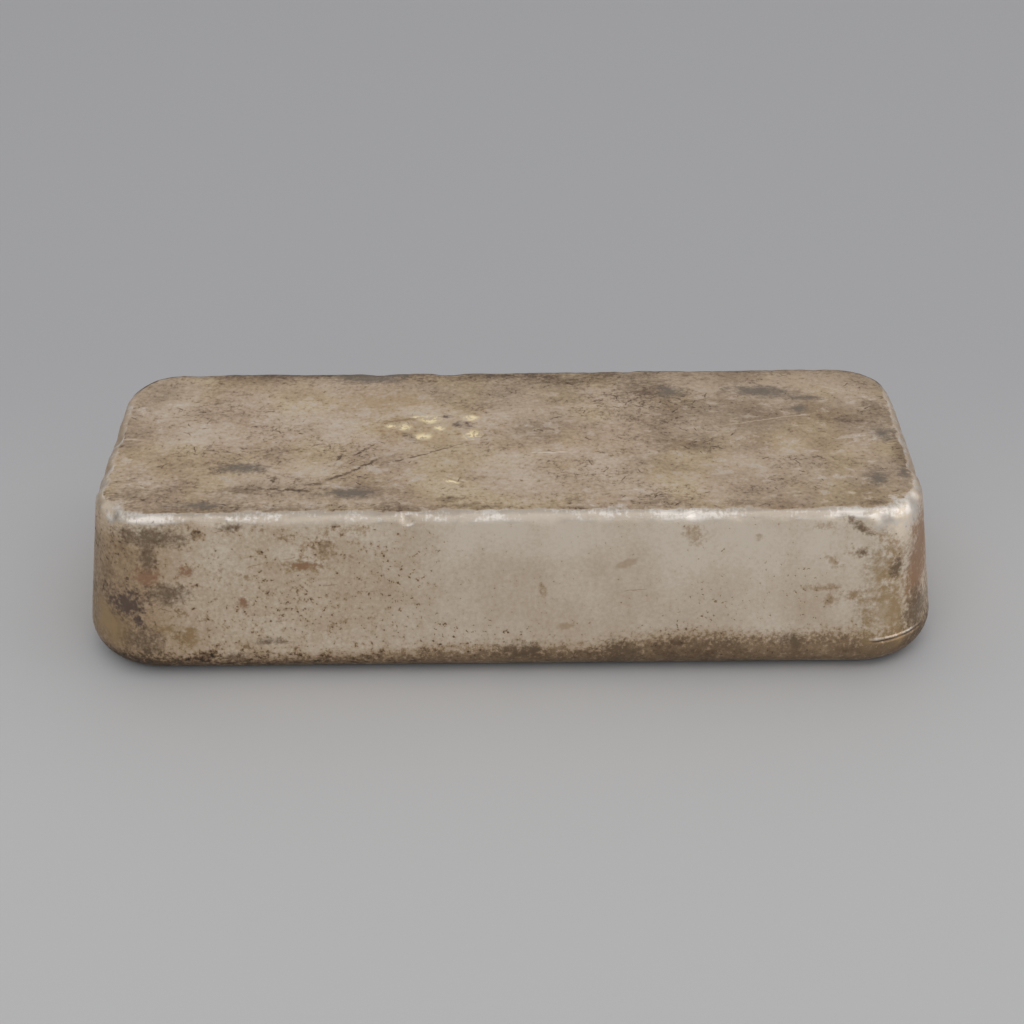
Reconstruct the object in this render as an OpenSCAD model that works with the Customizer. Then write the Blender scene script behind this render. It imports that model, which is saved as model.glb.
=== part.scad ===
// Cast silver bar, lying on its poured face with the mould-bottom face up.
// Millimetres. X runs along the length, Y across the width and Z up.
// The origin is at the middle of the face that the bar rests on.

/* [Overall size] */
// Length at the widest level, just above the poured face
bar_l = 188.5; // [150:0.5:260]
// Width at the widest level
bar_w = 73; // [60:0.5:110]
// Height from the poured face to the mould-bottom face
bar_h = 39; // [28:0.5:48]

/* [Mould form] */
// Draft of the mould's walls, in degrees from upright
draft = 9; // [5:0.5:12]
// Plan radius of the upright corners at the widest level
corner_r = 17.5; // [15:0.5:26]
// Radius of the edge round the mould-bottom face
edge_r = 3.2; // [1.5:0.1:5]

/* [Poured face] */
// Radius of the rim that surface tension rounds off
rim_r = 6.5; // [3:0.5:8]
// Depth of the hollow that shrinkage leaves in the poured face
sink_depth = 1.2; // [0.4:0.1:2.5]
// Flat land left between the rim and the hollow
sink_land = 7; // [4:0.5:12]

/* [Hidden] */
$fn = 96;

// The straight runs between the centres of the four corners.
run_l = bar_l - 2 * corner_r;
run_w = bar_w - 2 * corner_r;

// The profile lies in a plane through a corner's centre: u points outwards and z up.
// The wall is the line u cos(draft) + z sin(draft) = wall_reach, which is tangent to both rounds.
rim_u = corner_r - rim_r;
wall_reach = rim_u * cos(draft) + rim_r * sin(draft) + rim_r;
edge_z = bar_h - edge_r;
edge_u = (wall_reach - edge_r - edge_z * sin(draft)) / cos(draft);

// The wall stands this far inside the true tangent, so that it crosses each round cleanly.
wall_bite = 0.0005;

// The hollow is a shallow arc across the width, carried along the length with round ends.
sink_half_w = bar_w / 2 - rim_r - sink_land;
sink_run = bar_l - bar_w;
sink_arc_r = (sink_half_w * sink_half_w + sink_depth * sink_depth) / (2 * sink_depth);

// End of the wall in a round of radius r centred at (u, z).
function wall_end(u, z, r) = [u + (r - wall_bite) * cos(draft), z + (r - wall_bite) * sin(draft)];

// The part of a round of radius r that lies outside its centre, from straight down to straight up.
module outer_half(r) {
    intersection() {
        circle(r);
        translate([0, -r]) square([r, 2 * r]);
    }
}

// Section of the bar outside a corner's centre: rim, drafted wall and edge.
module wall_profile() {
    polygon([
        [0, 0],
        [rim_u, 0],
        wall_end(rim_u, rim_r, rim_r),
        wall_end(edge_u, edge_z, edge_r),
        [edge_u, bar_h],
        [0, bar_h],
    ]);
    translate([rim_u, rim_r]) outer_half(rim_r);
    translate([edge_u, edge_z]) outer_half(edge_r);
}

// A straight wall of the given run, facing +X and standing at distance x from the middle.
module straight_wall(run, x) {
    translate([x, run / 2, 0]) rotate([90, 0, 0]) linear_extrude(height = run) wall_profile();
}

// The corner that faces +X and +Y.
module corner() {
    translate([run_l / 2, run_w / 2, 0]) rotate_extrude(angle = 90) wall_profile();
}

module loaf() {
    translate([-run_l / 2, -run_w / 2, 0]) cube([run_l, run_w, bar_h]);
    for (turn = [0, 180]) rotate(turn) {
        straight_wall(run_w, run_l / 2);
        rotate(90) straight_wall(run_l, run_w / 2);
        corner();
        mirror([0, 1, 0]) corner();
    }
}

// Half of the hollow's section, carried on below the poured face so that it cuts cleanly.
module sink_profile() {
    intersection() {
        translate([0, sink_depth - sink_arc_r]) circle(sink_arc_r);
        translate([0, -sink_depth]) square([2 * sink_half_w, 2 * sink_depth]);
    }
}

module shrinkage_hollow() {
    for (turn = [0, 180]) rotate(turn) {
        rotate([90, 0, 90]) linear_extrude(height = sink_run, center = true) sink_profile();
        translate([sink_run / 2, 0, 0]) rotate([0, 0, -90]) rotate_extrude(angle = 180) sink_profile();
    }
}

module silver_bar() {
    color([0.66, 0.61, 0.53]) difference() {
        loaf();
        shrinkage_hollow();
    }
}

silver_bar();
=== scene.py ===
import bpy
import bmesh
import functools
import math
import operator
import random
import numpy as np
from mathutils import Euler, Matrix, Vector
from mathutils.kdtree import KDTree


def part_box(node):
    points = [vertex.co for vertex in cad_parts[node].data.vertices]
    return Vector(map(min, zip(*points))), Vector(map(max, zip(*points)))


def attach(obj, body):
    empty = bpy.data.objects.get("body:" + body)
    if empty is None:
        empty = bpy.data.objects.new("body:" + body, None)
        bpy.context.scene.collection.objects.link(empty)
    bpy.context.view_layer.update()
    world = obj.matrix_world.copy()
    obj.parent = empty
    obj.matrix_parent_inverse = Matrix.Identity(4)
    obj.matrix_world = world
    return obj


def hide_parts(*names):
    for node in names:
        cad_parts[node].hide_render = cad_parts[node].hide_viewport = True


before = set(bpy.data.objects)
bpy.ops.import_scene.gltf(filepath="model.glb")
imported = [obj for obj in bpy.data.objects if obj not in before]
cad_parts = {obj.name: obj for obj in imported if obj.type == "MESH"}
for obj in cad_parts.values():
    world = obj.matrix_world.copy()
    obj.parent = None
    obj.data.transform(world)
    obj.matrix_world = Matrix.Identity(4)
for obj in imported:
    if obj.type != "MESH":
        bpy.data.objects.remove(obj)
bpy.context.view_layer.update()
mm = 0.001

# Length, width and height come from the frame, the rest from the mould. Sizes in mm, angles in degrees
barShape = {
    "draft": 9.0,
    "cornerRadius": 17.5,      # in plan, at the widest level
    "edgeRadius": 3.2,         # round the mould-bottom face, which is uppermost
    "rimRadius": 6.5,          # round the poured face, which is underneath
    "lapBand": 1.8,            # finely divided wall just above the rim
    "topBand": 3.6,            # finely divided strip inside the top edge
    "landBand": 7.0,           # flat land round the shrinkage hollow
    "sinkDepth": 1.2,
    "sinkReach": 23.0,         # from the hollow's middle line to its lip
    "facet": 0.85,             # size of the skin's quads
    "rimRows": 3,              # rows of quads in the rim above the widest level
    "lapRows": 8,
    "edgeRows": 12,
    "topRows": 6,
}

# Unevenness that the mould, the pour and handling left, in mm. Pairs without a note: size across, height
barRelief = {
    "mouldWave": (26.0, 0.45),
    "mouldSwell": (8.0, 0.16),
    "castGrain": (2.6, 0.06),
    "edgeWobble": (9.0, 0.60),
    "edgeChip": (2.6, 0.20),
    "pourRipple": (4.2, 0.22),
    "reliefFrom": (0.2, 5.0),  # levels between which it comes in, so that the bar stands flat
    "lapLevel": 8.2,           # height of the lap line that the pour left at the mould's brim
    "lapAlong": (76.0, 84.0),  # where the line comes in, to the right
    "lapAcross": (28.0, 33.0),  # and to the front
    "lapBead": 0.25,           # how far its lip stands proud, at most
    "lapGroove": 0.38,         # how deep the line under the lip is, at most
    "lapOffset": 0.25,         # lip above and groove below the level
    "lapWidth": 0.45,          # half width of either
    "edgeDents": 60,
    "edgeDentReach": (1.6, 4.0),
    "edgeDentDepth": (0.06, 0.24),
    "faceDents": 26,
    "faceDentReach": (2.0, 5.0),
    "faceDentDepth": (0.08, 0.22),
    "seed": 11,
}

# Knocks that stand out: place, reach and depth in mm; a depth below 0 is a swelling
barKnocks = {
    "leftCornerBite": ((-88.4, -17.5, 38.0), 3.2, 0.6),
    "leftCornerBruise": ((-84.8, -27.4, 37.9), 4.0, 0.7),
    "leftCornerNick": ((-88.5, -11.0, 37.9), 2.4, 0.5),
    "leftEndNick": ((-88.5, 1.0, 38.0), 2.2, 0.5),
    "frontNotch": ((-21.5, -31.2, 37.6), 2.2, 0.7),
    "frontFlat": ((10.0, -31.0, 38.0), 7.0, 0.55),
    "frontRub": ((-45.0, -31.0, 38.0), 6.0, 0.35),
    "rightCornerSwell": ((84.5, -31.5, 31.5), 9.0, -1.1),
    "rightEndNick": ((88.6, -14.0, 37.6), 2.6, 0.6),
    "backNotch": ((-30.0, 30.8, 38.0), 6.0, 0.35),
    "backBite": ((-14.0, 31.0, 38.0), 4.0, 0.5),
    "backNick": ((28.0, 31.0, 38.0), 3.0, 0.5),
    "fleckHollowBack": ((-18.0, 7.5, 39.0), 2.4, 0.35),
    "fleckHollowFront": ((-19.5, 0.8, 39.0), 2.2, 0.35),
    "fleckHollowRight": ((-8.5, 1.2, 39.0), 2.2, 0.40),
    "fleckHollowLeft": ((-24.0, 5.0, 39.0), 2.2, 0.30),
}


def editOn():
    bpy.ops.object.mode_set(mode="EDIT")


def editOff():
    bpy.ops.object.mode_set(mode="OBJECT")


def pickEdges(obj, test):
    bpy.ops.mesh.select_mode(type="EDGE")
    cage = bmesh.from_edit_mesh(obj.data)
    for edge in cage.edges:
        edge.select = test(edge)
    cage.select_flush_mode()
    bmesh.update_edit_mesh(obj.data)


def pickVerts(obj, test):
    bpy.ops.mesh.select_mode(type="VERT")
    cage = bmesh.from_edit_mesh(obj.data)
    for vert in cage.verts:
        vert.select = test(vert.co)
    cage.select_flush_mode()
    bmesh.update_edit_mesh(obj.data)


def splitRun(obj, run, pieces):
    # cut the outline's straight edges of this length into equal pieces: coarsely, then each in four
    coarse = max(2, pieces // 4)
    pickEdges(obj, lambda edge: abs(edge.calc_length() - run) < mm)
    bpy.ops.mesh.subdivide(number_cuts=coarse - 1)
    bpy.ops.mesh.subdivide(number_cuts=3)


def arcRows(radius, start, end, rows):
    # one (inward, along) pair for each row of a round that turns from start to end
    turns = [start + (end - start) * k / rows for k in range(rows + 1)]
    return [(radius * (math.cos(a) - math.cos(b)), radius * (math.sin(b) - math.sin(a)))
            for a, b in zip(turns, turns[1:])]


def straightRows(inward, along, rows):
    return [(inward / rows, along / rows)] * rows


def insetRows(rows):
    for inward, along in rows:
        bpy.ops.mesh.inset(thickness=inward, depth=along, use_even_offset=True)


def gridFill(obj, level, span):
    # swap the last big face for a grid whose corners lie on the rounded corners
    bpy.ops.mesh.delete(type="ONLY_FACE")
    pickEdges(obj, lambda edge: edge.is_boundary and abs(edge.verts[0].co.z - level) < 0.01 * mm)
    cage = bmesh.from_edit_mesh(obj.data)
    start = max((vert for vert in cage.verts if vert.select), key=lambda vert: vert.co.x + vert.co.y)
    cage.select_history.clear()
    cage.select_history.add(start)
    bpy.ops.mesh.fill_grid(span=span, offset=0, use_interp_simple=True)


def modelCage(shape):
    low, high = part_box("silver_bar")
    length, width, height = high - low
    lean = math.radians(shape["draft"])
    rim, edge, corner = (shape[key] * mm for key in ("rimRadius", "edgeRadius", "cornerRadius"))
    facet = shape["facet"] * mm
    longRun, shortRun = length - 2 * corner, width - 2 * corner
    longPieces, shortPieces = (4 * round(run / facet / 4) for run in (longRun, shortRun))
    cornerPieces = 2 * round(corner * math.pi / 4 / facet)

    # the outline at the widest level
    bpy.ops.object.select_all(action="DESELECT")
    bpy.ops.mesh.primitive_plane_add(size=1)
    bar = bpy.context.object
    bar.name = "castBar"
    editOn()
    bpy.ops.transform.resize(value=(length, width, 1))
    bpy.ops.transform.translate(value=(0, 0, rim))
    bpy.ops.mesh.bevel(affect="VERTICES", offset=corner, offset_type="OFFSET", segments=cornerPieces,
                       profile=0.5)
    bpy.ops.mesh.select_all(action="SELECT")
    bpy.ops.mesh.delete(type="ONLY_FACE")
    splitRun(bar, longRun, longPieces)
    splitRun(bar, shortRun, shortPieces)

    # down: the rim, the land and the poured face
    bpy.ops.mesh.select_all(action="SELECT")
    bpy.ops.mesh.edge_face_add()
    bpy.ops.mesh.select_mode(type="FACE")
    outline = bmesh.from_edit_mesh(bar.data)
    outline.faces.ensure_lookup_table()
    if outline.faces[0].normal.z > 0:
        bpy.ops.mesh.flip_normals()
    land = shape["landBand"] * mm
    insetRows(arcRows(rim, 0, math.pi / 2, round(rim * math.pi / 2 / facet)))
    insetRows(straightRows(land, 0, round(land / facet)))
    gridFill(bar, 0, shortPieces + cornerPieces)

    # up: the drafted wall, the mould-bottom edge and face
    pickEdges(bar, lambda side: side.is_boundary)
    bpy.ops.mesh.edge_face_add()
    bpy.ops.mesh.select_mode(type="FACE")
    rimTop = rim * (1 + math.sin(lean))
    edgeFoot = height - edge * (1 - math.sin(lean))
    lap, band = shape["lapBand"] * mm, shape["topBand"] * mm
    wall = edgeFoot - rimTop - lap
    insetRows(arcRows(rim, 0, lean, shape["rimRows"]))
    insetRows(straightRows(lap * math.tan(lean), lap, shape["lapRows"]))
    insetRows(straightRows(wall * math.tan(lean), wall, round(wall / facet)))
    insetRows(arcRows(edge, lean, math.pi / 2, shape["edgeRows"]))
    insetRows(straightRows(band, 0, shape["topRows"]))
    gridFill(bar, height, shortPieces + cornerPieces)
    bpy.ops.mesh.select_all(action="SELECT")
    bpy.ops.mesh.normals_make_consistent(inside=False)
    editOff()
    bpy.ops.object.shade_smooth()
    print("bar: cage of", len(bar.data.polygons), "faces")
    return bar


def skinArrays(obj):
    # places in mm and normals of all vertices
    count = len(obj.data.vertices)
    places, normals = np.zeros(count * 3), np.zeros(count * 3)
    obj.data.vertices.foreach_get("co", places)
    obj.data.vertex_normals.foreach_get("vector", normals)
    return places.reshape(-1, 3) / mm, normals.reshape(-1, 3)


def ease(values, low, high):
    t = np.clip((values - low) / (high - low), 0, 1)
    return t * t * (3 - 2 * t)


def weighGroup(obj, name, weights):
    group = obj.vertex_groups.new(name=name)
    for index in np.flatnonzero(weights > 0.002):
        group.add([int(index)], float(weights[index]), "REPLACE")
    return name


def applyModifier(obj, kind, **settings):
    mod = obj.modifiers.new(kind.lower(), kind)
    for key, value in settings.items():
        setattr(mod, key, value)
    bpy.ops.object.modifier_apply(modifier=mod.name)


def pushOut(obj, relief, name, group="", basis="IMPROVED_PERLIN", octaves=2):
    # raise and lower the skin by a cloud pattern
    size, height = relief[name]
    cloud = bpy.data.textures.new(name, "CLOUDS")
    cloud.noise_scale = size * mm
    cloud.noise_depth = octaves
    cloud.noise_basis = basis
    applyModifier(obj, "DISPLACE", texture=cloud, texture_coords="LOCAL", strength=height * mm,
                  mid_level=0.5, vertex_group=group)


def barHeight():
    low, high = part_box("silver_bar")
    return (high.z - low.z) / mm


def addRelief(bar, shape, relief):
    height = barHeight()
    # the poured face sank along its middle as it set
    low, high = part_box("silver_bar")
    runHalf = (high.x - low.x - high.y + low.y) / 2
    editOn()
    pickVerts(bar, lambda co: co.z < mm and abs(co.y) < 0.5 * mm and abs(co.x) < runHalf)
    bpy.ops.transform.translate(value=(0, 0, shape["sinkDepth"] * mm), use_proportional_edit=True,
                                proportional_edit_falloff="SMOOTH", proportional_size=shape["sinkReach"] * mm)
    editOff()

    places, normals = skinArrays(bar)
    x, y, z = places.T
    upward = normals[:, 2]
    body = weighGroup(bar, "body", ease(z, *relief["reliefFrom"]))
    turning = ease(upward, 0.1, 0.4) * ease(-upward, -0.999, -0.9)
    edge = weighGroup(bar, "topEdge", ease(z, height - 6, height - 3) * turning)
    # ripples of the setting pour, ring inside ring
    rippleSize, rippleDepth = relief["pourRipple"]
    inside = np.minimum(high.y / mm - np.abs(y), high.x / mm - np.abs(x))
    sway = 1.3 * np.sin(x / 17) + 1.1 * np.sin(y / 9 + x / 31)
    rings = 0.5 + 0.5 * np.sin(2 * math.pi * inside / rippleSize + sway)
    weighGroup(bar, "pour", rings * ease(-upward, 0.9, 0.99) * ease(inside, 13, 17))
    # a lap line round the right front corner: a thin lip and a groove under it
    around = ease(x, *relief["lapAlong"]) * ease(-y, *relief["lapAcross"])
    for name, offset in (("lapBead", relief["lapOffset"]), ("lapGroove", -relief["lapOffset"])):
        away = np.abs(z - relief["lapLevel"] - offset) / relief["lapWidth"]
        weighGroup(bar, name, around * np.clip(1 - away, 0, 1))
    heights = {"lapBead": relief["lapBead"], "lapGroove": -relief["lapGroove"], "pour": -rippleDepth}
    for group, rise in heights.items():
        applyModifier(bar, "DISPLACE", strength=rise * mm, mid_level=0, vertex_group=group)
    pushOut(bar, relief, "mouldWave", body)
    pushOut(bar, relief, "mouldSwell", body)
    pushOut(bar, relief, "castGrain", body, octaves=1)
    pushOut(bar, relief, "edgeWobble", edge)
    pushOut(bar, relief, "edgeChip", edge, basis="VORONOI_F1")
    print("bar: relief of the casting")


def knock(bar, tree, place, reach, depth):
    # press the skin in round the vertex nearest to a place
    index = tree.find(Vector(place) * mm)[1]
    cage = bmesh.from_edit_mesh(bar.data)
    cage.verts.ensure_lookup_table()
    vert = cage.verts[index]
    bpy.ops.mesh.select_all(action="DESELECT")
    vert.select = True
    push = vert.normal * (-depth * mm)
    bmesh.update_edit_mesh(bar.data)
    bpy.ops.transform.translate(value=push, use_proportional_edit=True, proportional_edit_falloff="SMOOTH",
                                proportional_size=reach * mm)


def addKnocks(bar, relief, knocks):
    chance = random.Random(relief["seed"])
    places, normals = skinArrays(bar)
    upward, level = normals[:, 2], places[:, 2]
    tree = KDTree(len(places))
    for index, place in enumerate(places):
        tree.insert(Vector(place) * mm, index)
    tree.balance()
    dented = {
        "edge": np.flatnonzero((upward > 0.3) & (upward < 0.9) & (level > barHeight() - 4)),
        "face": np.flatnonzero((upward > -0.2) & (level > 10)),
    }
    editOn()
    bpy.ops.mesh.select_mode(type="VERT")
    for place, reach, depth in knocks.values():
        knock(bar, tree, place, reach, depth)
    for where, verts in dented.items():
        for _ in range(relief[where + "Dents"]):
            place = places[chance.choice(verts)]
            reach = chance.uniform(*relief[where + "DentReach"])
            knock(bar, tree, place, reach, chance.uniform(*relief[where + "DentDepth"]))
    # nothing hangs below the face it rests on
    pickVerts(bar, lambda co: co.z < 0)
    bpy.ops.transform.resize(value=(1, 1, 0), center_override=(0, 0, 0))
    editOff()
    print("bar:", len(knocks) + relief["edgeDents"] + relief["faceDents"], "knocks")


# Stains that can be told apart, in mm. On the top face: x, y, half length, half width, turn
topStains = {
    "smoke": {
        "leftDab": (-58.6, -12.2, 5.2, 1.9, -1),
        "leftFrontDab": (-67.5, -27.0, 5.4, 1.3, 2),
        "middleDab": (-34.0, -22.3, 5.8, 2.2, 0),
        "backDab": (37.6, 19.5, 2.8, 3.2, 0),
        "farDab": (58.5, 19.5, 8.0, 2.6, -6),
        "farTail": (69.0, 16.4, 4.5, 1.0, -8),
        "farSmudge": (66.4, 11.2, 2.2, 2.0, 0),
        "endMiddle": (84.2, 0.0, 3.2, 3.0, -10),
        "endFront": (79.8, -18.4, 2.4, 2.8, 0),
        "endCorner": (86.0, -16.5, 1.6, 2.6, 0),
        "backShade": (-33.0, 27.2, 8.5, 2.2, 0),
    },
    "brown": {
        "frontNear": (-12.7, -25.4, 2.8, 1.5, 0),
        "frontLong": (-4.5, -28.0, 9.5, 1.4, 0),
        "frontLeft": (-25.0, -26.8, 3.4, 1.8, 0),
        "frontRim": (-47.0, -28.0, 24.0, 2.0, 0),
        "leftMat": (-58.6, -21.5, 7.0, 2.0, 0),
        "rightBand": (32.5, -26.5, 7.0, 2.2, 0),
        "rightDash": (49.0, -27.4, 3.6, 1.1, 0),
        "cornerDash": (78.3, -28.0, 2.4, 0.9, 0),
        "blueDab": (15.0, -26.0, 2.8, 2.0, 0),
        "greyBack": (28.0, 21.5, 12.0, 5.5, 0),
        "backPink": (14.0, 26.0, 11.0, 3.0, 0),
        "endStreak": (78.0, 6.0, 8.5, 0.9, -9),
        "endBack": (84.0, 12.5, 3.0, 4.2, 0),
        "endEdge": (87.0, -8.0, 2.4, 9.0, 0),
        "leftPink": (-82.0, -22.0, 6.0, 6.0, 0),
        "backRim": (-38.0, 29.0, 15.0, 1.3, 0),
        "backBandLeft": (-8.0, 27.5, 14.0, 2.6, 0),
        "backBandMiddle": (20.0, 26.5, 12.0, 4.0, 0),
    },
    "marks": {
        "hook": (-47.0, -19.0, 8.0, 4.0, 0),
        "slashes": (-35.0, -6.0, 7.0, 8.0, 0),
        "curve": (-34.0, -14.0, 7.0, 3.0, 35),
        "ring": (-53.0, 4.0, 6.0, 8.0, 0),
        "row": (-66.0, -4.6, 12.0, 2.6, 0),
        "rowEnd": (-56.6, -8.2, 3.0, 2.4, 0),
        "leftSpots": (-69.0, 5.0, 4.0, 4.0, 0),
        "leftArc": (-70.0, 13.0, 8.0, 2.5, 10),
        "crack": (-22.0, 8.0, 6.0, 2.6, 0),
        "dots": (-5.5, 1.0, 2.2, 7.0, 0),
        "chevrons": (44.0, -4.0, 3.2, 8.0, 0),
        "arcs": (62.0, -12.0, 7.0, 4.0, 0),
        "frontSlash": (57.0, -22.0, 3.5, 3.0, 0),
        "frontTick": (68.0, -21.5, 4.0, 2.4, 0),
        "lowMiddle": (18.0, -15.0, 8.0, 3.0, 0),
        "lowRight": (34.0, -23.5, 8.0, 3.0, 0),
        "backRight": (34.0, 14.0, 14.0, 7.0, 0),
    },
    "honey": {
        "fleckGround": (-18.0, 5.0, 13.0, 6.5, 0),
        "backLeft": (-30.0, 16.0, 10.0, 6.0, 0),
    },
    "plum": {
        "rightOfFlecks": (-10.5, 5.6, 2.4, 1.5, -12),
        "behindFlecks": (-14.2, 9.4, 1.6, 1.1, 0),
        "frontOfFlecks": (-21.9, 0.0, 2.2, 1.1, -50),
    },
    "pale": {
        "calmRight": (66.0, -4.0, 16.0, 10.0, 0),
        "calmMiddle": (12.0, -6.0, 14.0, 7.0, 0),
        "golden": (-18.0, 8.0, 12.0, 6.0, 0),
        "oliveLeft": (-34.0, 0.0, 9.0, 7.0, 0),
        "left": (-60.0, 1.0, 12.0, 6.0, 0),
        "leftBack": (-62.0, 15.0, 13.0, 7.0, 0),
        "front": (-12.0, -21.0, 6.0, 3.0, 0),
    },
    "shade": {
        "backStrip": (29.0, 26.0, 18.0, 5.0, 0),
        "backRight": (41.0, 13.0, 10.0, 8.0, 0),
        "right": (53.0, 6.0, 9.0, 6.0, 0),
        "low": (43.0, -4.0, 10.0, 6.0, 0),
        "middle": (5.0, 3.0, 7.0, 6.0, 0),
        "backCorner": (-81.0, 22.0, 8.0, 8.0, 0),
        "behindFlecks": (-18.0, 20.0, 8.0, 5.0, 0),
        "lowRight": (37.0, -13.0, 11.0, 6.0, 0),
        "leftFront": (-43.0, -23.0, 18.0, 5.0, 0),
        "backMiddle": (8.0, 22.0, 20.0, 8.0, 0),
        "backLeft": (-50.0, 29.0, 30.0, 3.0, 0),
    },
}
# On the front wall and round its corners: x, z, half length, half height, turn
frontStains = {
    "smoke": {
        "cornerHeart": (82.8, 25.2, 1.3, 2.0, 0),
        "cornerFoot": (89.6, 12.5, 3.6, 5.0, 0),
        "cornerStreak": (74.2, 35.4, 4.0, 0.8, -36),
        "cornerDrop": (75.0, 29.6, 1.8, 0.8, -4),
        "leftTop": (-76.0, 34.4, 7.0, 2.4, 0),
        "leftSmear": (-77.2, 30.0, 1.9, 3.6, 0),
        "leftLow": (-80.0, 9.5, 4.2, 3.6, 0),
        "leftMat": (-73.6, 21.0, 5.4, 2.4, 0),
        "topDash": (-59.5, 36.6, 3.0, 0.9, 0),
        "lowDash": (-52.0, 9.5, 3.4, 0.8, 0),
        "footLeft": (-60.5, 5.6, 3.0, 1.4, 0),
        "footDark": (24.6, 6.0, 5.2, 2.8, 0),
        "footDash": (46.5, 8.2, 3.8, 1.2, 0),
        "footRight": (60.0, 8.5, 4.0, 1.6, 0),
        "footMiddle": (1.0, 6.6, 5.5, 2.0, 0),
    },
    "brown": {
        "cornerCloud": (82.3, 25.6, 2.6, 3.6, 0),
        "cornerWisp": (81.0, 30.4, 1.8, 2.2, 0),
        "cornerSweep": (75.2, 34.8, 3.6, 1.1, -36),
        "cornerTail": (79.7, 32.7, 3.9, 1.2, -30),
        "cornerDabs": (74.4, 29.8, 3.0, 1.4, -4),
        "rightDash": (67.5, 35.8, 3.6, 1.3, -6),
        "diagonal": (69.0, 27.3, 2.6, 0.9, -44),
        "topLeft": (-32.5, 35.8, 4.0, 1.4, 0),
        "spot": (-65.6, 34.8, 1.3, 1.3, 0),
        "lowSpots": (-71.3, 11.0, 2.4, 1.8, 0),
        "lowLeft": (-66.6, 5.8, 4.0, 1.6, 0),
        "olive": (-39.3, 31.5, 2.4, 2.3, 0),
        "tan": (39.4, 34.0, 2.2, 2.6, 20),
        "middleSpot": (7.0, 21.5, 0.9, 1.8, 12),
        "dab": (52.8, 33.2, 1.2, 0.9, 0),
        "hairline": (67.4, 21.3, 5.4, 0.7, 0),
        "greyDab": (74.0, 19.7, 2.2, 1.8, 0),
        "greyTick": (69.3, 18.2, 1.5, 1.5, 0),
    },
    "marks": {
        "cluster": (-23.5, 23.0, 9.0, 15.0, 0),
        "leftMiddle": (-45.0, 18.0, 9.0, 8.0, 0),
        "low": (-10.0, 10.0, 12.0, 5.0, 0),
        "rightLow": (42.0, 16.0, 10.0, 6.0, 0),
        "far": (62.0, 22.0, 8.0, 7.0, 0),
    },
    "plum": {
        "corner": (-83.0, 18.3, 4.2, 3.8, 0),
        "heart": (-82.0, 17.8, 1.6, 2.2, 0),
        "tail": (-80.5, 14.5, 1.3, 2.0, 0),
    },
    "honey": {
        "column": (79.0, 25.0, 2.8, 8.0, 0),
        "stain": (81.0, 15.0, 6.0, 8.0, 0),
        "leftTan": (-87.0, 12.0, 4.4, 5.0, 0),
        "ruster": (-44.0, 27.5, 4.4, 1.4, 0),
        "scratch": (-73.3, 12.7, 4.6, 0.8, 0),
        "lowLeft": (-70.5, 10.5, 2.8, 1.8, 0),
    },
    "rust": {
        "cornerStripe": (88.6, 25.0, 3.2, 11.0, 0),
        "leftRed": (-77.6, 25.2, 3.0, 2.4, 0),
        "mark": (-43.9, 27.6, 3.4, 1.0, 0),
        "drop": (-49.9, 14.5, 1.0, 0.9, 0),
        "spots": (-57.4, 19.0, 1.2, 1.4, 0),
        "blush": (-69.3, 26.4, 1.8, 1.2, 0),
    },
    # painted sheen: lighter patches high on the front wall
    "pale": {
        "middle": (20.0, 34.0, 26.0, 5.5, 0),
        "right": (52.0, 32.0, 24.0, 8.0, 0),
    },
}
# How high the brown foot reaches, from left to right: x and z
footLine = [(-95, 4), (-80, 6), (-56, 5.5), (-40, 5.5), (-26, 6.5), (-14, 8), (8, 8), (17, 7), (24, 9),
            (40, 10.5), (56, 10), (72, 10.5), (80, 9.5), (95, 9)]
# The masks, four to a colour layer
paintLayers = {
    "stains": ("smoke", "brown", "marks", "pale"),
    "colours": ("honey", "rust", "plum", "foot"),
}


def paintOvals(across, up, facing, ovals):
    # 1 in the middle of an oval and 0 at 1.6 times its half sizes
    mask = np.zeros(len(across))
    for x, y, long, wide, turn in ovals.values():
        bearing = np.exp(-1j * math.radians(turn)) * (across - x + 1j * (up - y))
        mask = np.maximum(mask, 1 - np.hypot(bearing.real / long, bearing.imag / wide) / 1.6)
    return mask * facing


def paintStains(bar, onTop, onFront, foot, layers):
    # soft masks in two colour attributes, which the material breaks up
    places, normals = skinArrays(bar)
    x, y, z = places.T
    upward = normals[:, 2]
    topward = ease(upward, 0.85, 0.95)
    frontward = ease(-upward, -0.9, -0.7) * ease(-y, 8, 18)
    masks = {}
    for name in layers["stains"] + layers["colours"]:
        masks[name] = (paintOvals(x, y, topward, onTop.get(name, {}))
                       + paintOvals(x, z, frontward, onFront.get(name, {})))
    masks["pale"] -= 1.8 * paintOvals(x, y, topward, onTop["shade"])
    masks["foot"] += ease(np.interp(x, *zip(*foot)) - z, -4.0, 4.0)
    for layer, names in layers.items():
        attribute = bar.data.color_attributes.new(layer, "FLOAT_COLOR", "POINT")
        attribute.data.foreach_set("color", np.stack([masks[name] for name in names], 1).ravel())
    print("bar: stains painted")


bar = modelCage(barShape)
addRelief(bar, barShape, barRelief)
addKnocks(bar, barRelief, barKnocks)
paintStains(bar, topStains, frontStains, footLine, paintLayers)
bar.vertex_groups.clear()
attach(bar, "root")
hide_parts("silver_bar")


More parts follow.
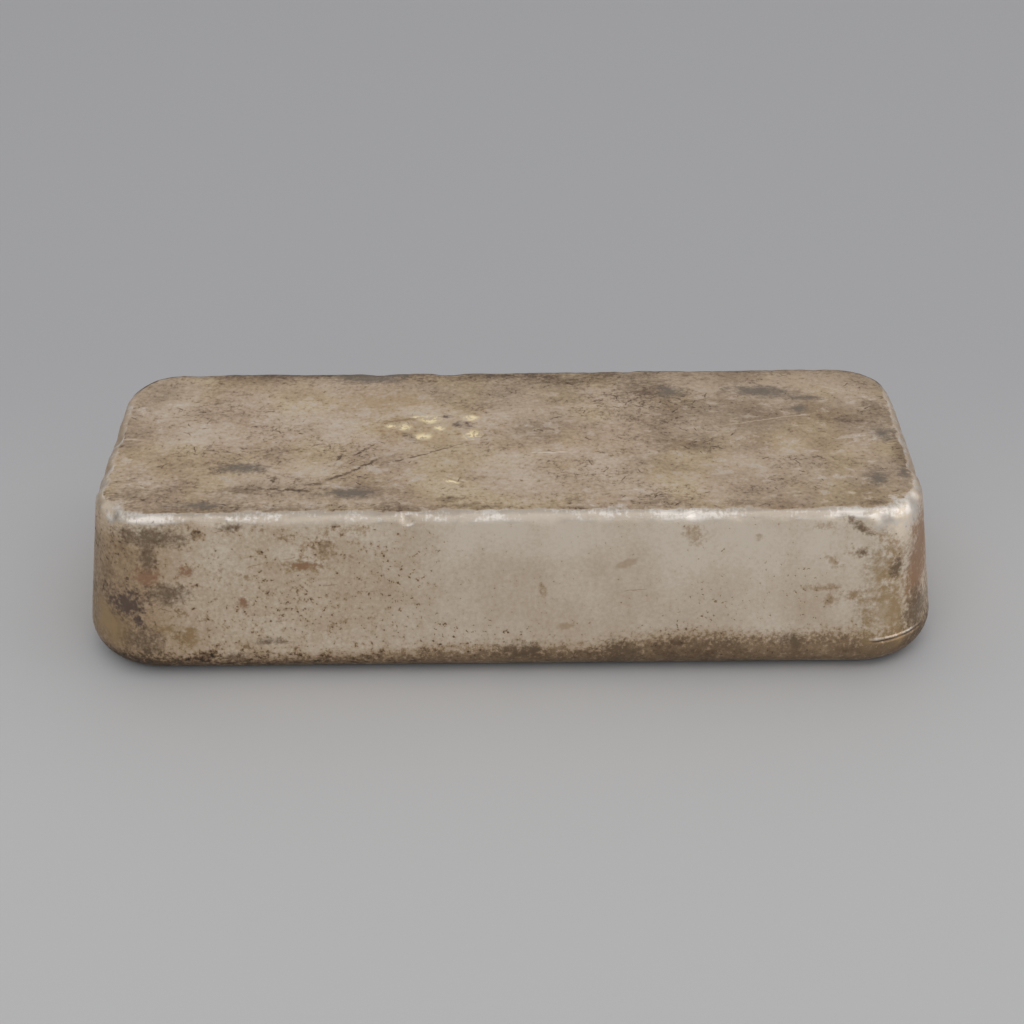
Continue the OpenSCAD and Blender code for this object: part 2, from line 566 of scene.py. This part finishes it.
class Wire:
    # one socket of a material, so that maths on it reads as maths
    def __init__(self, socket):
        self.socket = socket

    def add(self, kind, settings=None, sockets=None, output=0):
        tree = self.socket.id_data
        node = tree.nodes.new(kind)
        for key, value in (settings or {}).items():
            if key == "stops":
                ramp = node.color_ramp
                for place, colour in value[1:-1]:
                    ramp.elements.new(place).color = colour + (1,)
                for end in (0, -1):
                    ramp.elements[end].position = value[end][0]
                    ramp.elements[end].color = value[end][1] + (1,)
            else:
                setattr(node, key, value)
        for key, value in (sockets or {}).items():
            if isinstance(value, Wire):
                tree.links.new(value.socket, node.inputs[key])
            else:
                node.inputs[key].default_value = value
        if isinstance(output, tuple):
            return [Wire(node.outputs[name]) for name in output]
        return Wire(node.outputs[output])

    def maths(self, operation, *values):
        return self.add("ShaderNodeMath", {"operation": operation}, dict(enumerate(values)))

    def __add__(self, other):
        return self.maths("ADD", self, other)

    def __sub__(self, other):
        return self.maths("SUBTRACT", self, other)

    def __rsub__(self, other):
        return self.maths("SUBTRACT", other, self)

    def __mul__(self, other):
        return self.maths("MULTIPLY", self, other)

    def __or__(self, other):
        return self.maths("MAXIMUM", self, other)

    def __abs__(self):
        return self.maths("ABSOLUTE", self)

    __radd__ = __add__
    __rmul__ = __mul__


def fade(value, low, high):
    # 0 at low and 1 at high, whichever of the two is larger
    return value.add("ShaderNodeMapRange", {"interpolation_type": "SMOOTHSTEP"},
                     {"Value": value, "From Min": low, "From Max": high})


def split(vector):
    return vector.add("ShaderNodeSeparateXYZ", None, {0: vector}, ("X", "Y", "Z"))


def arrow(operation, first, second):
    return first.add("ShaderNodeVectorMath", {"operation": operation}, {0: first, 1: second})


def cloud(place, size, octaves, rough, stretch=None):
    # noise about 0.5 with lumps of this size in mm; a stretch under 1 draws it out along that axis
    if stretch:
        place = arrow("MULTIPLY", place, stretch)
    return place.add("ShaderNodeTexNoise", None,
                     {"Vector": place, "Scale": 1 / size, "Detail": octaves, "Roughness": rough})


def warp(place, size, reach):
    # the same place, pushed about by up to the reach, so that outlines come out ragged
    push = place.add("ShaderNodeTexNoise", None,
                     {"Vector": place, "Scale": 1 / size, "Detail": 1.0}, "Color")
    push = arrow("SUBTRACT", push, (0.5, 0.5, 0.5))
    return arrow("ADD", place, arrow("MULTIPLY", push, (2 * reach,) * 3))


def strokes(place, share, cell, length, width, lean, bow):
    # short scratches on a plane, in a share of its cells, turned by up to the lean and bowed
    chance, middle = place.add("ShaderNodeTexVoronoi", {"voronoi_dimensions": "2D"},
                               {"Vector": place, "Scale": 1 / cell}, ("Color", "Position"))
    pick, turn, grade = split(chance)
    offset = arrow("SUBTRACT", arrow("MULTIPLY", place, (1, 1, 0)), middle)
    offset = offset.add("ShaderNodeVectorRotate", {"rotation_type": "Z_AXIS"},
                        {"Vector": offset, "Angle": (turn - 0.5) * math.radians(lean)})
    along, across, _ = split(offset)
    across = across + along * along * ((grade - 0.5) * bow)
    half = (grade * 0.7 + 0.3) * (length / 2)
    line = fade(abs(across), width / 2, width / 6)
    return line * fade(abs(along), half, half * 0.5) * fade(pick + share, 0.98, 1.02)


def blot(place, at, size, turn, soft):
    # an oval patch at a place in mm, with half sizes, turned about Z
    if turn:
        spot = place.add("ShaderNodeMapping", {"vector_type": "TEXTURE"},
                         {"Vector": place, "Location": at, "Scale": size,
                          "Rotation": (0, 0, math.radians(turn))})
    else:
        spot = arrow("DIVIDE", arrow("SUBTRACT", place, at), size)
    away = spot.add("ShaderNodeVectorMath", {"operation": "LENGTH"}, {0: spot}, "Value")
    return fade(away, 1 + soft, 1 - soft)


def blots(place, spots, soft, level):
    # patches on a face at this level: x, y, half length, half width and turn
    through = 6     # mm, so that an uneven face still takes the whole patch
    masks = [blot(place, (x, y, level), (long, wide, through), turn, soft)
             for x, y, long, wide, turn in spots.values()]
    return functools.reduce(operator.or_, masks)


def painted(place, layer):
    # the four masks of a painted colour layer
    colour, fourth = place.add("ShaderNodeAttribute", {"attribute_name": layer}, None, ("Color", "Alpha"))
    return colour.add("ShaderNodeSeparateColor", None, {0: colour}, ("Red", "Green", "Blue")) + [fourth]


def blend(mask, below, above, mode="MIX"):
    settings = {"data_type": "RGBA", "blend_type": mode}
    return mask.add("ShaderNodeMix", settings, {0: mask, 6: below, 7: above}, 2)


# Colours of the skin, from bare metal to heavy tarnish
silverTones = [
    (0.00, (0.88, 0.85, 0.81)),
    (0.18, (0.70, 0.62, 0.535)),
    (0.34, (0.56, 0.455, 0.35)),
    (0.50, (0.36, 0.28, 0.20)),
    (0.70, (0.16, 0.112, 0.075)),
    (1.00, (0.05, 0.036, 0.027)),
]

# Colours laid over the skin
silverTints = {
    "topCast": (0.90, 0.85, 0.80, 1),
    "sideCast": (1.0, 0.905, 0.785, 1),
    "leftCast": (1.0, 0.985, 0.96, 1),
    "rubbed": (0.38, 0.33, 0.28, 1),
    # bare metal, also laid on as painted highlights on the lap's lip and the right front corner
    "bareAndHighlight": (0.76, 0.715, 0.665, 1),
    "olive": (1.0, 0.99, 0.90, 1),
    "rose": (0.98, 0.955, 0.95, 1),
    "smoke": (0.18, 0.142, 0.108, 1),
    "moss": (0.185, 0.128, 0.08, 1),
    "honey": (0.44, 0.30, 0.155, 1),
    "rust": (0.35, 0.195, 0.11, 1),
    "plum": (0.12, 0.08, 0.064, 1),
    "gold": (1.0, 0.85, 0.54, 1),
}

# Noise in the skin: size of its lumps in mm, octaves, roughness, and how it is drawn out along X, Y and Z
silverGrain = {
    "patch": (16.0, 1, 0.5),
    "bloom": (21.0, 2, 0.55),
    "mottle": (2.4, 4, 0.7, (0.8, 1, 1)),
    "grit": (0.9, 2, 0.65),
    "wipes": (4.0, 2, 0.6, (1, 1, 0.15)),
    "wearCloud": (5.0, 3, 0.65, (0.5, 1, 1)),
    "fileMarks": (0.6, 2, 0.5, (1, 0.12, 0.12)),
}
# The same, read from a place that is pushed about
waveGrain = {
    "smear": (6.0, 5, 0.66, (0.5, 1, 1)),
    "lines": (0.6, 2, 0.6, (0.2, 1, 1)),
}
wavePush = {"size": 1.6, "reach": 0.5}

# Scratches, each in a cell of its own. Sizes in mm, lean in degrees
silverScratches = {
    "hairs": {"cell": 3.6, "length": 3.8, "width": 0.36, "lean": 150, "bow": 0.35},
    "rubs": {"cell": 21.0, "length": 20.0, "width": 0.35, "lean": 60, "bow": 0.02},
    "scuffs": {"cell": 9.0, "length": 7.0, "width": 0.28, "lean": 40, "bow": 0.05},
}

# How the painted stains break up: raggedness, and where on the mask they start and are full
stainEdges = {
    "smoke": (1.0, 0.0, 0.95),
    "brown": (1.0, 0.15, 1.0),
    "honey": (1.0, 0.0, 0.9),
    "rust": (0.7, 0.10, 0.80),
    "plum": (0.9, 0.10, 0.75),
}

# How much darker each mark is, on the scale of silverTones
markDepths = {
    "squiggles": 0.24,
    "hairs": 0.30,
    "scuffs": 0.20,
    "pits": 0.32,
    "smudges": 0.15,
    "rubs": -0.09,
}

# Small marks on the top face, in mm: x, y, half length, half width, turn
goldFlecks = {
    "back": (-18.0, 8.3, 2.2, 1.3, 0),
    "left": (-23.6, 4.9, 1.3, 1.6, 0),
    "front": (-19.3, 0.8, 1.7, 1.2, 0),
    "middle": (-15.7, 4.4, 1.0, 1.0, 0),
    "frontRight": (-8.2, 1.1, 1.9, 1.8, 0),
    "backRight": (-8.5, 8.6, 1.6, 1.1, 0),
    "farLeft": (-26.6, 5.2, 1.3, 0.8, 0),
    "backSliver": (-20.8, 9.4, 1.2, 0.5, 12),
    "frontSliver": (-12.4, -18.2, 1.8, 0.5, -20),
}
topScratches = {
    "leftEnd": (-84.8, 0.5, 2.6, 0.35, -8),
    "long": (59.0, 6.8, 9.2, 0.22, 13),
    "middle": (10.5, -6.6, 4.6, 0.25, 0),
    "fleck": (73.3, -24.2, 0.6, 0.5, 0),
    "pair": (-10.8, -17.5, 2.6, 0.3, -28),
}
topLines = {
    "hookTop": (-51.3, -17.2, 1.7, 0.4, 80),
    "hookLow": (-47.0, -21.0, 3.8, 0.4, -9),
    "dash": (-42.2, -18.9, 1.9, 0.5, 4),
    "curveLow": (-37.0, -15.6, 3.2, 0.45, 32),
    "curveHigh": (-31.9, -11.6, 3.9, 0.38, 42),
    "slash": (-37.5, -8.2, 2.7, 0.35, 74),
    "slashRight": (-32.2, -5.0, 3.2, 0.35, 50),
    "crackLeft": (-24.0, 8.1, 3.9, 0.55, 16),
    "crackRight": (-19.4, 7.5, 1.8, 0.45, -59),
    "long": (-19.0, -7.0, 9.2, 0.25, 26),
}
# The same on the front wall: x, z, half length, half height, turn
frontMarks = {
    "rub": (25.2, 27.5, 2.3, 0.9, 24),
    "smudge": (12.0, 12.6, 1.8, 0.7, 10),
}


def take(skin, names):
    return [skin[name] for name in names.split()]


def readSkin(paint):
    # what the bar gives its material: places in mm, facing, painted masks and noise
    source = paint.node_tree.nodes.new("ShaderNodeTexCoord")
    metres = Wire(source.outputs["Object"])
    place = metres.add("ShaderNodeVectorMath", {"operation": "SCALE"}, {0: metres, "Scale": 1 / mm})
    wavy = warp(place, **wavePush)
    skin = dict(zip("xyz", split(place)), place=place, wavy=wavy)
    skin["upward"] = split(Wire(source.outputs["Normal"]))[2]
    for layer, names in paintLayers.items():
        for name, mask in zip(names, painted(place, layer)):
            skin[name + "Mask"] = mask
    for name, grain in silverGrain.items():
        skin[name] = cloud(place, *grain)
    for name, grain in waveGrain.items():
        skin[name] = cloud(wavy, *grain)
    skin["midway"] = skin["mottle"] - 0.5
    return skin


def findFaces(skin):
    # where on the bar, with ragged lines between
    x, y, z, upward, smear, midway = take(skin, "x y z upward smear midway")
    ragged = upward + midway * 0.22 + (smear - 0.5) * 0.16
    top = fade(ragged, 0.93, 0.99)
    ends = fade(abs(x), 80, 92)
    skin["top"] = top
    skin["side"] = 1 - top
    skin["edge"] = fade(ragged, 0.30, 0.62) * (1 - top) * fade(z, 31, 35)
    skin["near"] = fade(y, 26, 18)              # all but the far edge
    skin["leftSide"] = fade(x, 0, -50)
    skin["ends"] = ends
    skin["plain"] = ends * fade(y, -26, -16)    # end walls, behind the front corners
    skin["lap"] = fade(x, 77, 81) * fade(y, -28, -33)


def topTarnish(skin):
    x, y, smear, midway, grit, lines = take(skin, "x y smear midway grit lines")
    busy = fade(smear + skin["marksMask"] * 0.2, 0.50, 0.64)
    depth = fade(smear, 0.38, 0.68) * 0.06 + fade(smear, 0.58, 0.76) * 0.05
    depth = depth + midway * 0.13 + (grit - 0.5) * 0.36 + (lines - 0.5) * 0.10
    depth = depth + fade(lines + midway * 0.4, 0.62, 0.72) * busy * 0.13
    depth = depth + fade(grit + midway * 0.4, 0.64, 0.74) * 0.15
    depth = depth * (1 - fade(x, 20, 60) * 0.25)                # calmer to the right
    depth = depth + fade(x, 30, 80) * 0.11 + (skin["patch"] - 0.5) * 0.1 + 0.035
    backRim = fade(y + midway * 9, 26.5, 30.5)
    frontRim = fade(y + midway * 6, -27, -30.5) * fade(x, 60, 10)
    return depth + backRim * 0.16 + frontRim * 0.2


def sideTarnishAndSheen(skin):
    x, z, smear, mottle, midway, grit, plain = take(skin, "x z smear mottle midway grit plain")
    left = fade(smear, 0.42, 0.72) * 0.12 + fade(mottle + (grit - 0.5) * 0.5, 0.56, 0.68) * 0.18
    left = left + (grit - 0.5) * 0.2 + 0.02
    leftCorner = fade(x + smear * 24, -54, -72) * fade(z, 38, 30)
    rightCorner = fade(x + smear * 12, 84, 96)
    depth = (skin["wipes"] - 0.5) * 0.12 + midway * 0.14 + (grit - 0.5) * 0.24
    # painted sheen: the front wall lighter towards its top
    depth = depth + skin["leftSide"] * left * (1 - plain * 0.7) - 0.165 - fade(z, 18, 34) * 0.03
    return depth + leftCorner * (0.33 - plain * 0.22) + rightCorner * 0.05


def footTarnishAndShade(skin):
    # brown foot where the pour met the brim, its dark partly painted shade where the rim turns under,
    # thinning out into specks; painted shadow along the bottom, painted shade under the lap line, and darker
    # end walls
    y, z, side, ends, midway, grit, mask = take(skin, "y z side ends midway grit footMask")
    level = barRelief["lapLevel"]
    foot = fade(mask + midway * 0.5 + (grit - 0.5) * 0.3, 0.05, 1.0) * side
    specks = fade(mask * 0.35 + grit, 0.62, 0.78) * side * fade(z, 16, 12)
    # painted shadow along the bottom where the bar meets the floor; the brown foot is partly painted shade
    # where the rim turns under
    depth = foot * (0.30 + midway * 0.4) + specks * 0.15 + fade(z, 1.8, 0.8) * 0.7
    depth = depth + ends * (0.05 + skin["edge"] * fade(y, -24, -14) * 0.15)
    # painted shade under the lap line's lip
    return depth + skin["lap"] * fade(z, level - 0.6, level - 0.4) * fade(z, level + 0.05, level - 0.1) * 0.35


def markTarnish(skin):
    place, wavy, top, side, plain, leftSide = take(skin, "place wavy top side plain leftSide")
    smear, mottle, midway, grit, mask = take(skin, "smear mottle midway grit marksMask")
    squiggles = fade(abs(midway), 0.022, 0.008) * fade(mask * 0.20 + smear, 0.54, 0.63)
    hairs = strokes(wavy, mask * 0.8 + 0.06, **silverScratches["hairs"]) * top
    rubs = strokes(place, 0.5, **silverScratches["rubs"]) * top
    waveX, _, waveZ = split(wavy)
    frontPlane = wavy.add("ShaderNodeCombineXYZ", None, {0: waveX, 1: waveZ, 2: 0.0})
    scuffs = strokes(frontPlane, leftSide * 0.25 + 0.05, **silverScratches["scuffs"])
    smudges = blots(frontPlane, frontMarks, 0.35, 0) * fade(skin["y"], 0, -10)
    skin["pits"] = fade(grit + mask * 0.08 + leftSide * 0.03 - plain * 0.03, 0.69, 0.75) * side
    marks = {
        "squiggles": squiggles * fade(grit, 0.42, 0.56) * top,
        "hairs": hairs | blots(wavy, topLines, 0.6, barHeight()) * fade(mottle, 0.36, 0.5),
        "scuffs": scuffs * fade(skin["upward"], 0.5, 0.2) * (1 - plain),
        "pits": skin["pits"],
        "smudges": smudges * side,
        "rubs": rubs * fade(mottle, 0.4, 0.55),
    }
    return sum(mark * markDepths[name] for name, mark in marks.items())


def breakStains(skin):
    # painted stains, feathered by the skin: along the bar on top, downwards in front
    smear, mottle, midway, grit = take(skin, "smear mottle midway grit")
    feather = (smear - 0.5) * 1.1 + midway * 1.1 + (grit - 0.5) * 0.6
    feather = feather + skin["top"] * (skin["lines"] - 0.5) * 0.9
    feather = feather + skin["side"] * ((skin["wipes"] - 0.5) * 0.9 + (grit - 0.5) * 0.8)
    for name, (rough, low, high) in stainEdges.items():
        mask = skin[name + "Mask"]
        skin[name] = fade(mask + feather * rough, low, high) * fade(mask, 0.0, 0.25)
    skin["gold"] = blots(skin["wavy"], goldFlecks, 0.7, barHeight()) * fade(mottle + grit * 0.9, 0.82, 0.98)


def wearEdgesAndHighlights(skin):
    # worn edges, with a painted highlight on the right front corner; bright scratches and specks, a light
    # line low on the rim, and the lap's lip with a painted highlight
    x, y, z, midway, grit, wearCloud = take(skin, "x y z midway grit wearCloud")
    level = barRelief["lapLevel"]
    wear = wearCloud + midway * 0.7 + (grit - 0.5) * 0.7 + (skin["fileMarks"] - 0.5) * 0.35
    alongEdge = fade(wear + fade(abs(x), 68, 84) * 0.14 - skin["ends"] * 0.20, 0.42, 0.68)
    # painted highlight on the right front corner, broken up by the wear
    cornerHighlight = fade(x, 75, 81) * fade(z + midway * 6, 32.5, 36) * fade(y, -20, -26) * fade(wear, 0.34, 0.58)
    skin["worn"] = skin["edge"] * skin["near"] * alongEdge | skin["side"] * cornerHighlight
    # painted highlight along the lap line's lip
    skin["lip"] = skin["lap"] * fade(z, level, level + 0.15) * fade(z, level + 0.8, level + 0.55)
    scratches = blots(skin["wavy"], topScratches, 0.6, barHeight())
    sparks = fade(grit, 0.80, 0.86) * skin["top"]
    brim = fade(z, 0.9, 1.4) * fade(z, 2.6, 1.9) * fade(wearCloud, 0.46, 0.56)
    skin["bright"] = scratches * 0.7 | sparks * 0.5 | brim | skin["lip"]


def silverColour(skin, tarnishAndPaintedLight):
    top, side, edge, ends, near, mottle = take(skin, "top side edge ends near mottle")
    casts = {
        "sideCast": side,
        "topCast": top,
        "leftCast": skin["leftSide"] * side,
        "olive": fade(skin["bloom"], 0.44, 0.62) * top,
        "rose": fade(skin["patch"], 0.5, 0.62) * top,
    }
    honeyShare = 0.6 - top * 0.35 + fade(mottle + skin["wipes"], 0.90, 1.10) * 0.3
    coats = {
        "rubbed": edge * near * (0.75 - ends * 0.7),
        # bare metal on worn edges, with painted highlights on the right front corner and the lap's lip
        "bareAndHighlight": skin["worn"] * 0.72 | skin["lip"] * 0.6,
        "honey": skin["honey"] * honeyShare,
        "rust": skin["rust"] * 0.9,
        "smoke": skin["smoke"] * (0.84 + top * 0.08),
        "plum": skin["plum"] * (0.92 - top * fade(mottle, 0.58, 0.46) * 0.7),
        "gold": skin["gold"] * 0.95,
    }
    tints = dict(silverTints, smoke=blend(top, silverTints["moss"], silverTints["smoke"]))
    tone = tarnishAndPaintedLight.add("ShaderNodeValToRGB", {"stops": silverTones}, {0: tarnishAndPaintedLight})
    for name, mask in casts.items():
        tone = blend(mask, tone, tints[name], "MULTIPLY")
    for name, mask in coats.items():
        tone = blend(mask, tone, tints[name])
    return tone


def tarnishedSilver():
    paint = bpy.data.materials.new("tarnishedSilver")
    paint.use_nodes = True
    skin = readSkin(paint)
    findFaces(skin)
    breakStains(skin)
    wearEdgesAndHighlights(skin)
    top, grit = take(skin, "top grit")
    # lighter and darker patches on top, and painted sheen high on the front wall
    tarnishAndPaintedLight = 0.28 + (skin["patch"] - 0.5) * 0.30 - skin["paleMask"] * 0.09
    tarnishAndPaintedLight = tarnishAndPaintedLight + top * topTarnish(skin) + skin["side"] * sideTarnishAndSheen(skin)
    tarnishAndPaintedLight = tarnishAndPaintedLight + footTarnishAndShade(skin) + markTarnish(skin)
    tarnishAndPaintedLight = tarnishAndPaintedLight | top * 0.22              # the top is nowhere quite bare
    tarnishAndPaintedLight = tarnishAndPaintedLight + skin["brown"] * (0.27 - top * 0.12)
    # lighter under bright marks and the lip's painted highlight; much darker along the far edge
    tarnishAndPaintedLight = tarnishAndPaintedLight - skin["bright"] * 0.26 + skin["edge"] * (1 - skin["near"]) * 0.6

    dirtAndShade = fade(tarnishAndPaintedLight, 0.42, 0.85) | skin["rust"] * 0.7 | skin["plum"] * 0.8 | skin["smoke"] * 0.5
    height = grit * 0.035 - skin["pits"] * 0.15
    finish = {
        "Base Color": silverColour(skin, tarnishAndPaintedLight),
        "Metallic": 0.85 - dirtAndShade * 0.5,
        "Roughness": 0.41 + dirtAndShade * 0.2 + (grit - 0.5) * 0.2 - skin["worn"] * 0.08,
        "Normal": height.add("ShaderNodeBump", None, {"Strength": 0.6, "Distance": mm, "Height": height}),
    }
    shader = paint.node_tree.nodes["Principled BSDF"]
    for name, wire in finish.items():
        paint.node_tree.links.new(wire.socket, shader.inputs[name])
    print("material: tarnished silver,", len(paint.node_tree.nodes), "nodes")
    return paint


bar.data.materials.clear()
bar.data.materials.append(tarnishedSilver())

# Camera as the photograph was taken: lens and stand-off fitted to the bar's outline
cameraSetup = {
    "lens": 63.28,           # mm
    "sensor": 36.0,          # mm across
    "standOff": 416.3,       # mm from the point looked at
    "lookAt": (0.55, 0.0, 18.76),
    "pitch": 33.56,          # degrees down
    "turn": 0.26,            # degrees round the bar
    "roll": -0.67,
    "nearest": 10.0,         # mm, where its view starts
}


def placeCamera(setup):
    data = bpy.data.cameras.new("photoCamera")
    data.lens = setup["lens"]
    data.sensor_width = setup["sensor"]
    data.clip_start = setup["nearest"] * mm
    camera = bpy.data.objects.new("photoCamera", data)
    bpy.context.scene.collection.objects.link(camera)
    tilt = Euler((math.radians(90 - setup["pitch"]), 0, math.radians(setup["turn"]))).to_matrix()
    view = tilt @ Matrix.Rotation(math.radians(setup["roll"]), 3, "Z")
    camera.rotation_euler = view.to_euler()
    camera.location = Vector(setup["lookAt"]) * mm + tilt @ Vector((0, 0, setup["standOff"] * mm))
    bpy.context.scene.camera = camera


# Plain floor with painted shade: a little darker behind the bar; in m
floorSetup = {
    "size": 6.0,
    "nearColour": (0.565, 0.565, 0.57, 1),
    "farShadedColour": (0.46, 0.46, 0.475, 1),
    "change": (-0.08, 0.12),   # from the near colour to the far, shaded one
    "roughness": 0.7,
    "shine": 0.15,
}


def layFloor(setup):
    bpy.ops.object.select_all(action="DESELECT")
    bpy.ops.mesh.primitive_plane_add(size=setup["size"], location=(0, 0, 0))
    floor = bpy.context.object
    floor.name = "studioFloor"
    paint = bpy.data.materials.new("floorPaint")
    paint.use_nodes = True
    matte = paint.node_tree.nodes["Principled BSDF"]
    place = Wire(paint.node_tree.nodes.new("ShaderNodeTexCoord").outputs["Object"])
    # painted shade: the floor darker behind the bar
    shadeBehind = fade(split(place)[1], *setup["change"])
    colour = blend(shadeBehind, setup["nearColour"], setup["farShadedColour"])
    paint.node_tree.links.new(colour.socket, matte.inputs["Base Color"])
    matte.inputs["Roughness"].default_value = setup["roughness"]
    matte.inputs["Specular IOR Level"].default_value = setup["shine"]
    floor.data.materials.append(paint)


def softLight(name, place, aim, size, power, onlyShine=False):
    data = bpy.data.lights.new(name, "AREA")
    data.shape = "RECTANGLE"
    data.size, data.size_y = size
    data.energy = power
    lamp = bpy.data.objects.new(name, data)
    lamp.visible_camera = False
    lamp.visible_diffuse = not onlyShine
    bpy.context.scene.collection.objects.link(lamp)
    lamp.location = place
    lamp.rotation_euler = (Vector(aim) - Vector(place)).to_track_quat("-Z", "Y").to_euler()


# Soft light from a dim room, a box overhead, a panel in front and a lamp on either hand; in m
studioLight = {
    "skyBack": 0.74,         # brightness of the room behind the bar
    "skyFront": 0.50,        # on the camera's side
    "skyLow": 0.25,          # near the floor on the camera's side and to the left and right
    "boxPlace": (0.15, -0.40, 1.15),
    "boxSize": (2.4, 0.5),
    "boxPower": 3.2,
    "panelPlace": (0.0, -1.1, 1.0),
    "panelSize": (2.2, 0.5),
    "panelPower": 2.4,
    "rightPlace": (0.88, -0.35, 0.50),
    "leftPlace": (-0.88, -0.35, 0.50),
    "sideSize": (1.5, 0.9),
    "rightPower": 4.6,
    "leftPower": 0.9,
    "aim": (0.0, 0.0, 0.02),
}


def lightStudio(setup):
    world = bpy.data.worlds.new("studioWorld")
    bpy.context.scene.world = world
    world.use_nodes = True
    sky = world.node_tree.nodes["Background"]
    sky.inputs["Color"].default_value = (1, 1, 1, 1)
    source = world.node_tree.nodes.new("ShaderNodeTexCoord")
    sideways, away, aloft = split(Wire(source.outputs["Generated"]))
    level = setup["skyFront"] + fade(away, -0.4, 0.4) * (setup["skyBack"] - setup["skyFront"])
    low = fade(abs(sideways), 0.2, 0.9) * fade(aloft, 0.55, 0.25)
    low = low | fade(away, 0.0, -0.5) * fade(aloft, 0.35, 0.10)
    level = level * (1 - low) + low * setup["skyLow"]
    world.node_tree.links.new(level.socket, sky.inputs["Strength"])
    aim = setup["aim"]
    softLight("overheadBox", setup["boxPlace"], aim, setup["boxSize"], setup["boxPower"])
    softLight("frontPanel", setup["panelPlace"], aim, setup["panelSize"], setup["panelPower"])
    softLight("rightLamp", setup["rightPlace"], aim, setup["sideSize"], setup["rightPower"], True)
    softLight("leftLamp", setup["leftPlace"], aim, setup["sideSize"], setup["leftPower"], True)
    bpy.context.scene.view_settings.view_transform = "Standard"


placeCamera(cameraSetup)
layFloor(floorSetup)
lightStudio(studioLight)
print("studio: camera, floor and lamps set")
